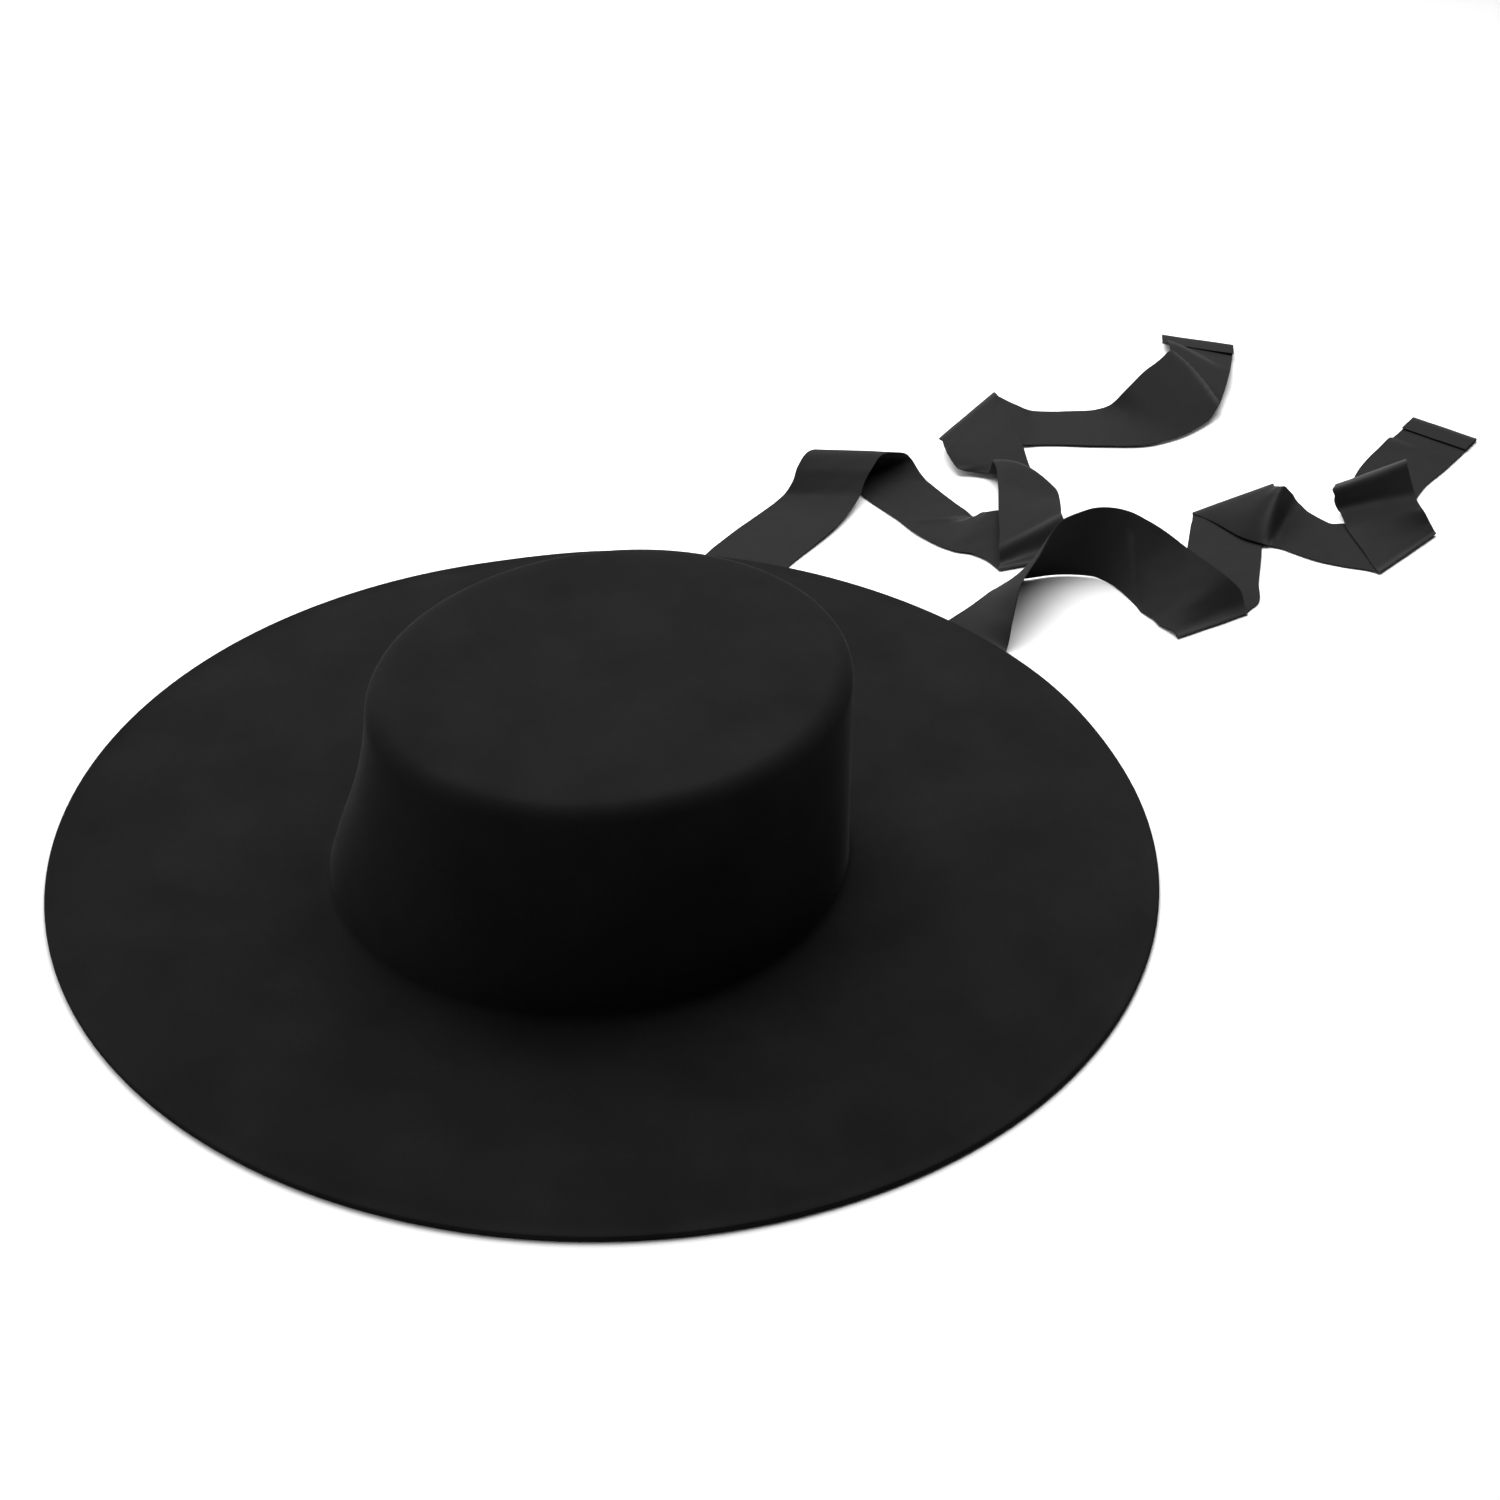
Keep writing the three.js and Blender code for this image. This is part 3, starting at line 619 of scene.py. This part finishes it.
RIGHT_TIE = {
    "name": "ribbon_tie_right",
    "sewn_at": math.radians(96),
    "hem_side": 1,
    "rows": (
        # Out from under the brim.
        (84, 113, 0.9, 107, 90, 0.9),
        (134, 164, 0.7, 156, 141, 0.7),
        # The arch: its left edge stays on the floor and its right edge goes up and over.
        (145, 177, 0.7, 159, 149, 11),
        (153, 187, 0.7, 162, 159, 21),
        (161, 195, 0.7, 170, 175, 26),
        (168, 196.5, 0.7, 181, 197, 30),
        (179, 199.5, 0.7, 192, 204.5, 30.5),
        (188, 200, 0.7, 201, 207, 30),
        (197, 198, 0.7, 209, 205, 29.5),
        (203, 192.5, 0.7, 217, 200, 28),
        (208, 184.5, 0.7, 225, 196.5, 24.5),
        # Down to the first fold, above the next stretch.
        (213.5, 174, 0.7, 233, 191.5, 20.5),
        (218, 168.5, 0.9, 243, 183, 17.5),
        (220.5, 163.5, 1.4, 249.5, 178.5, 14.5),
        (224, 160, 1.9, 255, 177.5, 8.5),
        (226, 157.5, 1.9, 256.5, 176.5, 3.4),
        (227.5, 155, 1.5, 258, 174, 1.7, -0.8, -0.9),
        # Along the floor to the second fold.
        (229, 168.5, 0.7, 263, 182, 0.7),
        (231.5, 192.5, 0.7, 264.5, 196.5, 0.7),
        (236.5, 222.5, 0.7, 268, 222, 0.9),
        (239, 238, 0.9, 269.5, 243, 3),
        (240.5, 248, 1.2, 274.5, 254, 12.6, 1.1, 1.6),
        # Back over itself, with the right end propped up.
        (250, 239.5, 2.4, 275, 251.5, 14, 0, 0, 0, 3),
        (258.5, 230.5, 2.3, 276.5, 250.5, 14.6, 0, 0, 0, 4),
        (268, 225, 2.2, 278, 251, 14.4, 0, 0, 0, 3),
        # Down to the floor and on to the third fold.
        (270, 224.5, 1.9, 279, 253, 13.4, 0, 0, 0, 1),
        (271.5, 225, 1.3, 282, 256.5, 9, 0, 0, 0, 0.5),
        (273.5, 224.5, 0.9, 285, 259.5, 4),
        (276.5, 223.5, 0.7, 287.5, 258, 1.3),
        (281, 220.5, 0.7, 291, 252, 0.8),
        (290, 215, 0.7, 298.5, 244, 0.8),
        (299.5, 211.5, 0.7, 306, 244, 0.7),
        (316, 206, 0.7, 343.5, 237, 0.8, 0.9, 1),
        # Back over itself and up to the crest of the last pleat.
        (311, 220.5, 1.8, 341.5, 240, 3.8),
        (305.5, 238.5, 2.2, 337.5, 243.5, 9.6),
        (304.5, 243, 3.4, 336, 247, 10.6),
        (304, 245.5, 3.8, 335.5, 249, 11),
        (303, 248, 5, 335, 251, 12.2),
        (301.5, 249.5, 9.2, 333, 254, 17.6),
        (299.5, 251, 13.4, 331, 256.5, 23.3),
        (301, 254.5, 14.3, 330.5, 259.5, 24.8, -2.6, -3.4),
        # Down behind the crest to one more fold, under the pleat.
        (301.5, 254.5, 6, 331, 260.5, 12),
        (303.5, 251.5, 2.4, 333, 258, 4),
        (308, 243, 1.6, 336, 252, 2, -0.9, -1.2),
        # Along the floor, over one small pressed ridge, to the free end.
        (315, 285, 0.7, 343, 274, 0.7),
        (326.5, 305, 0.8, 354, 289, 0.7),
        (332, 312, 2.2, 358.5, 295.5, 1),
        (334.5, 315, 0.8, 361, 299, 0.7),
        (345, 331, 0.7, 371, 314, 0.7),
    ),
    "creases": (
        (7, 12, 213.5, 172, 208.5, 206, -1.6, 7, 3),
    ),
}

# Lines round a fold and round the turned hem, as parts of the half turn.
FOLD_PARTS = (0, 0.25, 0.5, 0.75, 1)
HEM_PARTS = (0.2, 0.4, 0.6, 0.8, 1)

CREASE_FADE = 0.2  # part of a pressed crease's length over which it fades in at either end

# Fine creases of handling: how far their lines slant across the ribbon, how far apart they are, how
# much of the height they take, and where their noise starts.
FINE_CREASES = (
    {"slant": 0.5, "spacing": 13 * MM, "share": 1.0, "offset": 0.0},
    {"slant": -0.7, "spacing": 8 * MM, "share": 0.6, "offset": 7.3},
)
CREASE_STRETCH = 0.35  # the noise is drawn out along the lines, so a crease is long and narrow

# Painted highlight on folds: none at the gentle radius, full at the sharp one.
GENTLE_RADIUS = 8 * MM
SHARP_RADIUS = 3 * MM
SHORTEST_LENGTH = 0.2 * MM
HIGHLIGHT_SPREADS = 3

FLOOR_GAP = 0.1 * MM


def to_hat(x, y, z):
    """A point of the ties' own lay-out, in millimetres, in the hat's frame."""
    c, s = math.cos(LAY_TURN), math.sin(LAY_TURN)
    x, y, z = x * MM, y * MM, z * MM
    return np.array([x * c - y * s + LAY_CENTRE[0], x * s + y * c + LAY_CENTRE[1], z])


def sewn_lines(tie, ribbon, felt):
    """Lines across the hidden end: sewn to the inside of the crown and turned out under the brim,
    bowed to the crown's curve."""
    base, tip, _ = felt_ovals(felt)
    lowest = WALL_ROWS[-1]
    wall_foot = BRIM_UNDERSIDE + felt.thickness + felt.base_fillet_radius
    slope = lowest["to_tip"] / (lowest["z"] - wall_foot)
    places = []
    for z in (ribbon.sewn_height, lowest["z"]):
        oval = mix_oval(base, tip, slope * (z - wall_foot))
        places.append((grown(oval, -felt.thickness - SEWN_INSET), z, 1.0))
    turn = felt.base_fillet_radius + felt.thickness + TURN_GAP + PACKED_HALF_THICKNESS
    slack = SEWN_INSET - TURN_GAP - PACKED_HALF_THICKNESS
    for part in TURN_PARTS:
        bend = part * math.pi / 2
        grow = felt.base_fillet_radius - (turn + slack) * math.cos(bend)
        places.append((grown(base, grow), wall_foot - turn * math.sin(bend), math.cos(bend)))
    lines = []
    angle = tie["sewn_at"]
    for (cx, cy, half_x, half_y), z, upright in places:
        middle = np.array([cx + half_x * math.cos(angle), cy + half_y * math.sin(angle), z])
        right = np.array([half_x * math.sin(angle), -half_y * math.cos(angle), 0])
        right *= ribbon.width / 2 / np.linalg.norm(right)
        outward = np.array([math.cos(angle), math.sin(angle), 0])
        belly = outward * ribbon.width ** 2 / 8 / half_x * upright
        lines.append(np.concatenate([middle - right, middle + right, belly, [-1]]))
    return lines


def fold_lines(line, before, rise_left, rise_right):
    """Lines round one fold, so that its two layers end up the two rises apart."""
    left, right = line[:3], line[3:6]
    along = (right - left) * (1, 1, 0)
    along /= np.linalg.norm(along)
    outward = np.array([along[1], -along[0], 0])
    if outward @ ((left + right) / 2 - (before[:3] + before[3:6]) / 2) < 0:
        outward = -outward
    made = []
    for part in FOLD_PARTS:
        a = part * math.pi
        ends = []
        for end, rise in ((left, rise_left), (right, rise_right)):
            moved = end + outward * abs(rise) / 2 * (math.sin(a) - 1)
            moved[2] = end[2] + rise / 2 * (1 - math.cos(a))
            ends.append(moved)
        made.append(np.concatenate([*ends, line[6:]]))
    return made


def tie_lines(tie, ribbon, felt):
    """All the chosen lines of a tie, from its sewn end to its free end. Each line is its left end,
    its right end, how far its middle is moved, and the number of its row."""
    lines = sewn_lines(tie, ribbon, felt)
    for number, values in enumerate(tie["rows"]):
        row = dict.fromkeys(ROW_COLUMNS, 0)
        row.update(zip(ROW_COLUMNS, values))
        left = to_hat(row["lx"], row["ly"], row["lz"])
        right = to_hat(row["rx"], row["ry"], row["rz"])
        belly = to_hat(0, row["belly_y"], row["belly_z"]) - to_hat(0, 0, 0)
        line = np.concatenate([left, right, belly, [number]])
        if row["rise_l"] or row["rise_r"]:
            lines += fold_lines(line, lines[-1], row["rise_l"] * MM, row["rise_r"] * MM)
        else:
            lines.append(line)
    return np.array(lines)


def smooth_lines(lines, step):
    """Slope-limited cubic through the lines, so that flat stretches stay flat, with a line at each
    step along the ribbon's middle."""
    middle = (lines[:, :3] + lines[:, 3:6]) / 2
    gaps = np.linalg.norm(np.diff(middle, axis=0), axis=1)
    at = np.concatenate([[0], np.cumsum(gaps)])
    slope = np.diff(lines, axis=0) / gaps[:, None]
    product = slope[:-1] * slope[1:]
    total = slope[:-1] + slope[1:]
    inner = np.where(product > 0, 2 * product / np.where(product > 0, total, 1), 0)
    tangent = np.concatenate([slope[:1], inner, slope[-1:]])
    fine = []
    for i, gap in enumerate(gaps):
        for t in np.arange(0, 1, 1 / max(1, round(gap / step))):
            t2, t3 = t * t, t * t * t
            fine.append((2 * t3 - 3 * t2 + 1) * lines[i] + (t3 - 2 * t2 + t) * gap * tangent[i]
                        + (3 * t2 - 2 * t3) * lines[i + 1] + (t3 - t2) * gap * tangent[i + 1])
    fine.append(lines[-1])
    return np.array(fine)


def unit(vectors):
    """The vectors, each made one long."""
    return vectors / np.maximum(np.linalg.norm(vectors, axis=-1, keepdims=True), 1e-12)


def with_hem(lines, side, ribbon):
    """Adds the turned hem: the ribbon goes round its end and back over its own face."""
    along = unit((lines[-1] - lines[-3])[:3] + (lines[-1] - lines[-3])[3:6])
    across = unit(lines[-1][3:6] - lines[-1][:3])
    up = np.cross(across, along) * side
    radius = ribbon.hem_gap / 2
    made = []
    for part in HEM_PARTS:
        a = part * math.pi
        made.append(along * radius * math.sin(a) + up * radius * (1 - math.cos(a)))
    steps = round(ribbon.hem_depth / ribbon.step)
    for i in range(1, steps + 1):
        back = ribbon.hem_depth * i / steps
        made.append(up * ribbon.hem_gap - along * back)
    turned = [np.concatenate([lines[-1][:3] + m, lines[-1][3:6] + m, lines[-1][6:] + (0, 0, 0, 1)])
              for m in made]
    return np.vstack([lines, turned])


def ribbon_grid(lines, ribbon):
    """Points of the ribbon, a row of them on each line, with its normals, the distance of each row
    along the ribbon and the part of the width at each column."""
    across = np.linspace(0, 1, ribbon.columns + 1)
    left, right, belly = lines[:, None, :3], lines[:, None, 3:6], lines[:, None, 6:9]
    share = across[None, :, None]
    points = left * (1 - share) + right * share + belly * 4 * share * (1 - share)
    ahead = np.gradient(points, axis=0)
    side = np.gradient(points, axis=1)
    normal = unit(np.cross(side, ahead))
    steps = np.linalg.norm(np.diff(points, axis=0), axis=2).mean(axis=1)
    along = np.concatenate([[0], np.cumsum(steps)])
    return points, normal, along, across


def press_creases(points, normal, rows, creases):
    """The creases that folding and handling have pressed into a tie."""
    upward = normal * np.where(normal[:, :, 2:] < 0, -1, 1)
    for values in creases:
        row = dict(zip(CREASE_COLUMNS, values))
        on = (rows >= row["first"]) & (rows <= row["last"])
        start, end = to_hat(row["x0"], row["y0"], 0)[:2], to_hat(row["x1"], row["y1"], 0)[:2]
        length = np.linalg.norm(end - start)
        ahead = (end - start) / length
        place = points[on][:, :, :2] - start
        part = place @ ahead / length
        aside = place @ np.array([-ahead[1], ahead[0]]) / MM
        fall = np.exp(-np.abs(aside) / np.where(aside > 0, row["left"], row["right"]))
        ends = smooth_step(0, CREASE_FADE, part) * smooth_step(1, 1 - CREASE_FADE, part)
        points[on] += upward[on] * (row["height"] * MM * fall * ends)[:, :, None]
    return points


def above_floor(points, before, ribbon):
    """The moved points, with none of them lower than a ribbon that lies flat on the floor."""
    lowest = ribbon.thickness / 2 + FLOOR_GAP
    points[:, :, 2] = np.maximum(points[:, :, 2], np.minimum(before[:, :, 2], lowest))
    return points


def crease(points, normal, along, across, ribbon):
    """Fine creases of a handled ribbon, on lines that slant across it."""
    u, v = np.meshgrid(across * ribbon.width, along)
    height = 0
    for row in FINE_CREASES:
        slanted = (v + row["slant"] * u).ravel()
        place = np.column_stack([slanted, (CREASE_STRETCH * u).ravel(), 0 * u.ravel()])
        height = height + row["share"] * wander(place, row["spacing"], row["offset"])
    return points + normal * (ribbon.creasing * height.reshape(u.shape))[:, :, None]


def painted_highlight_share(points):
    """How much painted highlight each point gets, standing in for the light glinting along folds:
    from 0 where it bends gently to 1 where it is folded sharply, fading out to the rows on either
    side."""
    normal = unit(np.cross(np.gradient(points, axis=1), np.gradient(points, axis=0)))
    turn = np.linalg.norm(normal[2:] - normal[:-2], axis=2)
    length = np.linalg.norm(points[2:] - points[:-2], axis=2)
    bend = np.pad(turn / np.maximum(length, SHORTEST_LENGTH), ((1, 1), (0, 0)))
    painted_fold_highlight = smooth_step(1 / GENTLE_RADIUS, 1 / SHARP_RADIUS, bend)
    for _ in range(HIGHLIGHT_SPREADS):
        sides = np.pad(painted_fold_highlight, ((1, 1), (0, 0)), mode="edge")
        painted_fold_highlight = (sides[:-2] + 2 * painted_fold_highlight + sides[2:]) / 4
    return painted_fold_highlight


def grid_mesh(name, points, along, across, ribbon):
    """A mesh object through the grid of points, with the weave's UV map and the painted highlight of
    its folds.
    """
    rows, columns = points.shape[:2]
    faces = []
    for r in range(rows - 1):
        for c in range(columns - 1):
            a = r * columns + c
            faces.append((a, a + columns, a + columns + 1, a + 1))
    mesh = bpy.data.meshes.new(name)
    mesh.from_pydata(points.reshape(-1, 3).tolist(), [], faces)
    weave = mesh.uv_layers.new(name="weave")
    corner = np.zeros(len(mesh.loops), int)
    mesh.loops.foreach_get("vertex_index", corner)
    place = np.column_stack([across[corner % columns] * ribbon.width, along[corner // columns]])
    weave.data.foreach_set("uv", place.ravel())
    # The painted highlight of sharp folds, which the ribbon's material reads.
    painted_fold_highlight = mesh.attributes.new("painted_fold_highlight", "FLOAT", "POINT")
    painted_fold_highlight.data.foreach_set("value", painted_highlight_share(points).ravel())
    piece = bpy.data.objects.new(name, mesh)
    bpy.context.scene.collection.objects.link(piece)
    return piece


def make_tie(tie, ribbon, felt, material):
    """One tie: laid out, hemmed, creased, given its thickness and handed over."""
    lines = smooth_lines(tie_lines(tie, ribbon, felt), ribbon.step)
    lines = with_hem(lines, tie["hem_side"], ribbon)
    points, normal, along, across = ribbon_grid(lines, ribbon)
    pressed = press_creases(points.copy(), normal, lines[:, 9], tie["creases"])
    pressed = crease(pressed, normal, along, across, ribbon)
    points = above_floor(pressed, points, ribbon)
    piece = grid_mesh(tie["name"] + "_cloth", points, along, across, ribbon)
    wall = piece.modifiers.new("cloth", "SOLIDIFY")
    wall.thickness = ribbon.thickness
    wall.offset = 0
    apply_modifiers(piece)
    bpy.ops.object.shade_smooth_by_angle(angle=SHARP_EDGE)
    piece.data.materials.append(material)
    hand_over(piece, tie["name"])


class HAT_OT_ribbon_ties(Operator):
    """Lay both ribbon ties out behind the hat"""

    bl_idname = "hat.ribbon_ties"
    bl_label = "Ribbon ties"
    bl_options = {"REGISTER", "UNDO"}

    def execute(self, context):
        ribbon, felt = context.scene.hat_ribbon, context.scene.hat_felt
        material = woven_ribbon(ribbon)
        for tie in (LEFT_TIE, RIGHT_TIE):
            make_tie(tie, ribbon, felt, material)
        return {"FINISHED"}


# ---------------------------------------------------------------------------------------------
# Stage

SENSOR_WIDTH = 36
LIT_POINT = Vector((0, 0, 50 * MM))  # every light is turned to this point in the crown

# Where the two broad lights come from: away from the camera, to its right and up.
ROOM_FROM = (0.65, -1.1, 1.2)
BACKDROP_FROM = (1.3, -0.9, 0.6)
ROOM_SPREAD = math.radians(90)
BACKDROP_SPREAD = math.radians(40)


def stage_axes(stage):
    """Level directions away from the camera and to its right."""
    side, ahead = math.sin(stage.azimuth), math.cos(stage.azimuth)
    return Vector((-side, ahead, 0)), Vector((ahead, side, 0))


def add_camera(stage):
    """The camera, aimed at a point on the floor beside the middle of the model."""
    away, _ = stage_axes(stage)
    middle = (CAD_LOW + CAD_HIGH) / 2
    target = Vector((middle.x + stage.aim_side, middle.y + stage.aim_back, CAD_LOW.z))
    back = Vector((0, 0, math.sin(stage.pitch))) - away * math.cos(stage.pitch)
    data = bpy.data.cameras.new("camera")
    data.lens = stage.lens
    data.sensor_width = SENSOR_WIDTH
    camera = bpy.data.objects.new("camera", data)
    bpy.context.scene.collection.objects.link(camera)
    turn = (-back).to_track_quat("-Z", "Y").to_matrix().to_4x4()
    place = Matrix.Translation(target + back * stage.distance)
    camera.matrix_world = place @ turn @ Matrix.Rotation(stage.roll, 4, "Z")
    bpy.context.scene.camera = camera


def add_light(name, kind, place, **settings):
    """A light at a place, turned to the hat and left out of the camera's view."""
    data = bpy.data.lights.new(name, kind)
    for key, value in settings.items():
        setattr(data, key, value)
    light = bpy.data.objects.new(name, data)
    bpy.context.scene.collection.objects.link(light)
    light.location = place
    light.rotation_mode = "QUATERNION"
    light.rotation_quaternion = (LIT_POINT - place).to_track_quat("-Z", "Y")
    light.visible_camera = False


def add_lights(stage):
    """A softbox that hangs over and behind the hat, and the broad light of a pale room."""
    away, right = stage_axes(stage)
    up = Vector((0, 0, 1))

    def from_camera(far, aside, high):
        """The place that lies so far away, to the right and up, as the camera looks."""
        return away * far + right * aside + up * high

    add_light("overhead_softbox", "AREA",
              from_camera(stage.key_away, stage.key_right, stage.key_height),
              shape="DISK", size=stage.key_size, energy=stage.key_power)
    add_light("pale_room", "SUN", from_camera(*ROOM_FROM), angle=ROOM_SPREAD,
              energy=stage.room_strength)
    add_light("lit_backdrop", "SUN", from_camera(*BACKDROP_FROM), angle=BACKDROP_SPREAD,
              energy=stage.backdrop_strength)
    world = bpy.data.worlds.new("room")
    world.use_nodes = True
    world.node_tree.nodes.clear()
    room = add_node(world.node_tree, "ShaderNodeBackground", {
        "Color": (1, 1, 1, 1), "Strength": stage.fill_strength})
    add_node(world.node_tree, "ShaderNodeOutputWorld", {"Surface": room.outputs["Background"]})
    bpy.context.scene.world = world


class HAT_OT_stage(Operator):
    """Set the floor, the lights and the camera"""

    bl_idname = "hat.stage"
    bl_label = "Stage"
    bl_options = {"REGISTER", "UNDO"}

    def execute(self, context):
        stage = context.scene.hat_stage
        deselect_all()
        middle = (CAD_LOW + CAD_HIGH) / 2
        bpy.ops.mesh.primitive_plane_add(size=stage.floor_size,
                                         location=(middle.x, middle.y, CAD_LOW.z))
        floor = context.object
        floor.name = "floor"
        floor.data.materials.append(matt_paper(stage))
        add_lights(stage)
        add_camera(stage)
        context.scene.view_settings.view_transform = "Standard"
        return {"FINISHED"}


# ---------------------------------------------------------------------------------------------
# Panel and main


OPERATORS = (HAT_OT_stage, HAT_OT_felt_body, HAT_OT_ribbon_ties)


class HAT_PT_panel(Panel):
    """Buttons that build the hat piece by piece"""

    bl_idname = "HAT_PT_panel"
    bl_label = "Felt hat"
    bl_space_type = "VIEW_3D"
    bl_region_type = "UI"
    bl_category = "Hat"

    def draw(self, context):
        for operator in OPERATORS:
            self.layout.operator(operator.bl_idname)


CLASSES = (FeltSettings, RibbonSettings, StageSettings, *OPERATORS, HAT_PT_panel)


def register():
    for cls in CLASSES:
        bpy.utils.register_class(cls)
    bpy.types.Scene.hat_felt = PointerProperty(type=FeltSettings)
    bpy.types.Scene.hat_ribbon = PointerProperty(type=RibbonSettings)
    bpy.types.Scene.hat_stage = PointerProperty(type=StageSettings)


def unregister():
    del bpy.types.Scene.hat_stage
    del bpy.types.Scene.hat_ribbon
    del bpy.types.Scene.hat_felt
    for cls in reversed(CLASSES):
        bpy.utils.unregister_class(cls)


def main():
    register()
    bpy.ops.hat.stage()
    bpy.ops.hat.felt_body()
    bpy.ops.hat.ribbon_ties()


if __name__ == "__main__":
    main()
